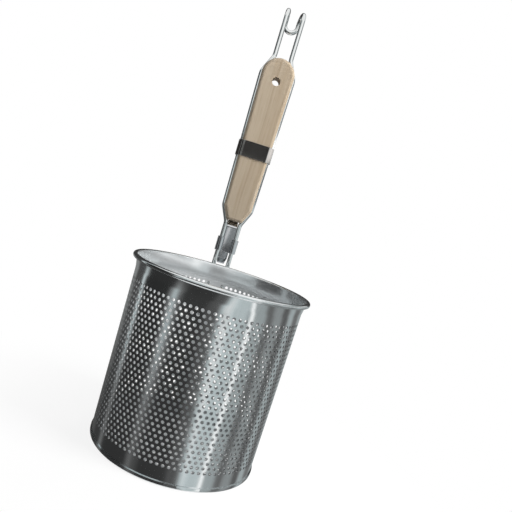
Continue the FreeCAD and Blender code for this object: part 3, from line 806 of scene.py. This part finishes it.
# %% Bands and boxes on the screen
SCREEN_GREY = 0.25
BANDS = [
    # middle, half width and soft edge in degrees round the piece from the front, brightness, lean
    (-158.0, 22.0, 6.0, 0.26, 0.2),
    (-128.0, 12.0, 4.0, 0.08, 0.2),
    (-112.0, 4.0, 2.5, 0.74, 0.1),
    (-86.0, 23.0, 4.0, 0.03, 0.2),
    (-55.0, 3.2, 3.0, 0.60, 0.1),
    (-26.0, 22.0, 5.0, 0.045, 0.3),
    (-5.0, 7.0, 5.0, 0.10, 0.5),
    (14.0, 9.0, 5.0, 0.84, 0.5),
    (30.0, 10.0, 6.0, 0.62, 0.2),
    (46.0, 2.8, 2.0, 1.25, 0.0),
    (59.0, 9.0, 4.0, 0.42, 0.0),
    (72.0, 6.0, 4.0, 0.15, 0.0),
    (86.0, 8.0, 5.0, 0.33, 0.0),
    (99.0, 6.0, 4.0, 0.12, 0.1),
    (113.0, 6.0, 4.0, 0.48, 0.1),
    (129.0, 8.0, 4.0, 0.18, 0.2),
    (155.0, 18.0, 7.0, 0.42, 0.2),
]
BOXES = [
    # middle, half width and soft edge as above, the two heights that it starts between, brightness
    # before the pot hook
    (2.0, 12.0, 4.0, -0.01, 0.01, 0.04),
    (2.0, 12.0, 4.0, 0.105, 0.112, 0.36),
    (-1.0, 1.6, 1.0, 0.105, 0.112, 1.00),
    # left of the rods, then the band
    (-34.0, 22.0, 6.0, 0.14, 0.20, 0.75),
    (-34.0, 22.0, 6.0, 0.33, 0.34, 0.06),
    (-34.0, 22.0, 6.0, 0.40, 0.41, 0.75),
    (1.0, 11.0, 3.0, 0.30, 0.33, 0.04),
    # right of the rods
    (90.0, 48.0, 8.0, 0.02, 0.10, 0.75),
    (90.0, 48.0, 8.0, 0.19, 0.21, 0.20),
    (90.0, 60.0, 8.0, 0.33, 0.35, 1.60),
    (90.0, 48.0, 8.0, 0.395, 0.41, 0.35),
    # round the top
    (15.0, 42.0, 8.0, 0.46, 0.58, 1.10),
    (-105.0, 55.0, 14.0, 0.70, 0.90, 1.00),
    (12.0, 26.0, 10.0, 0.80, 1.00, 1.10),
    (100.0, 35.0, 12.0, 0.70, 0.90, 0.90),
    # behind, for the outline of the far rim
    (-165.0, 38.0, 8.0, 0.08, 0.16, 0.05),
    (165.0, 30.0, 8.0, 0.08, 0.16, 0.05),
]
print(len(BANDS), "bands and", len(BOXES), "soft boxes")

# %% Paint the screen
LEAN_ABOVE = 0.2
DIM_FROM, DIM_TO = 0.02, 0.36
DIM_LEFT, DIM_RIGHT = math.radians(-35), math.radians(-5)
DIM_SHARE = 0.8
DIM_LEVEL = 0.04
BRIGHTEST = 1.6
WARM_TINT = (1.0, 0.99, 0.98, 1.0)
COOL_TINT = (0.90, 0.99, 1.0, 1.0)


def beside(turn, middle, half, soft):
    """1 within half a width of the middle, 0 outside it, with a soft edge, all in degrees."""
    aside = abs(turn - math.radians(middle))
    return 1.0 - aside.above(math.radians(half - soft), math.radians(half + soft))


screen_material, start, place = stage_material("screen")
height = along(start, place, "Z")
turn = start.maths("ARCTAN2", along(start, place, "X"), -1.0 * along(start, place, "Y"))
turn = turn - start.maths("MAXIMUM", height, 0.0) * LEAN_ABOVE
depth = start.maths("MAXIMUM", -1.0 * height, 0.0)
glow = SCREEN_GREY
for middle, half, soft, brightness, lean in BANDS:
    glow = glow + beside(turn - depth * lean, middle, half, soft) * (brightness - glow)
low_left = depth.above(DIM_FROM, DIM_TO) * (1.0 - turn.above(DIM_LEFT, DIM_RIGHT))
glow = glow + DIM_SHARE * low_left * (DIM_LEVEL - glow)
for middle, half, soft, low, high, brightness in BOXES:
    glow = glow + beside(turn, middle, half, soft) * height.above(low, high) * (brightness - glow)
middling = glow.above(0.1, 0.5) * (1.0 - glow.above(0.7, 0.9))
tint = middling.blend(WARM_TINT, COOL_TINT)
screen_colour = (glow * (1.0 / BRIGHTEST)).blend(BLACK, tint)
screen_light = start.node("ShaderNodeEmission", {}, {"Color": screen_colour, "Strength": BRIGHTEST})
start.node("ShaderNodeOutputMaterial", {}, {"Surface": screen_light})

# %% Hang the screen
SCREEN_DISTANCE = 0.9
SCREEN_LOW = -1.3
SCREEN_HEIGHT = 2.8
SCREEN_SIDES = 96

screen_mesh = bmesh.new()
bmesh.ops.create_cone(screen_mesh, cap_ends=False, segments=SCREEN_SIDES, depth=SCREEN_HEIGHT,
                      radius1=SCREEN_DISTANCE, radius2=SCREEN_DISTANCE,
                      matrix=Matrix.Translation((0.0, 0.0, SCREEN_LOW + SCREEN_HEIGHT / 2)))
screen = stage_piece("screen", screen_mesh, screen_material)
screen.visible_camera = False
screen.visible_diffuse = False
screen.visible_shadow = False
screen.visible_transmission = False
screen.visible_volume_scatter = False
print("screen", SCREEN_DISTANCE, "m away and", SCREEN_HEIGHT, "m high")

# %% [markdown]
# Lamps
#
# Steel gets its look from the screen, so the lamps are there for the wood and for the satin inside of
# the basket, and reflections don't show them. The key lamp stands high on the right, where its light
# also falls in over the rim and onto the far inside, which is what makes the holes in front look pale.
# A weaker one behind lights the back, and one overhead softens both.

# %% Three soft lamps
AIM = Vector((0.0, 0.0, 0.18))


def soft_lamp(name, place, size, power):
    """A square soft lamp that looks at the middle of the object."""
    data = bpy.data.lights.new(name, "AREA")
    data.size = size
    data.energy = power
    lamp = bpy.data.objects.new(name, data)
    lamp.location = place
    lamp.rotation_euler = (AIM - Vector(place)).to_track_quat("-Z", "Y").to_euler()
    lamp.visible_glossy = False
    bpy.context.scene.collection.objects.link(lamp)
    print(name, power, "W")


soft_lamp("key_lamp", (0.75, -0.30, 0.85), 0.45, 16.5)
soft_lamp("back_lamp", (0.35, 0.95, 0.60), 0.50, 5.0)
soft_lamp("top_lamp", (0.0, -0.1, 1.2), 0.9, 4.0)
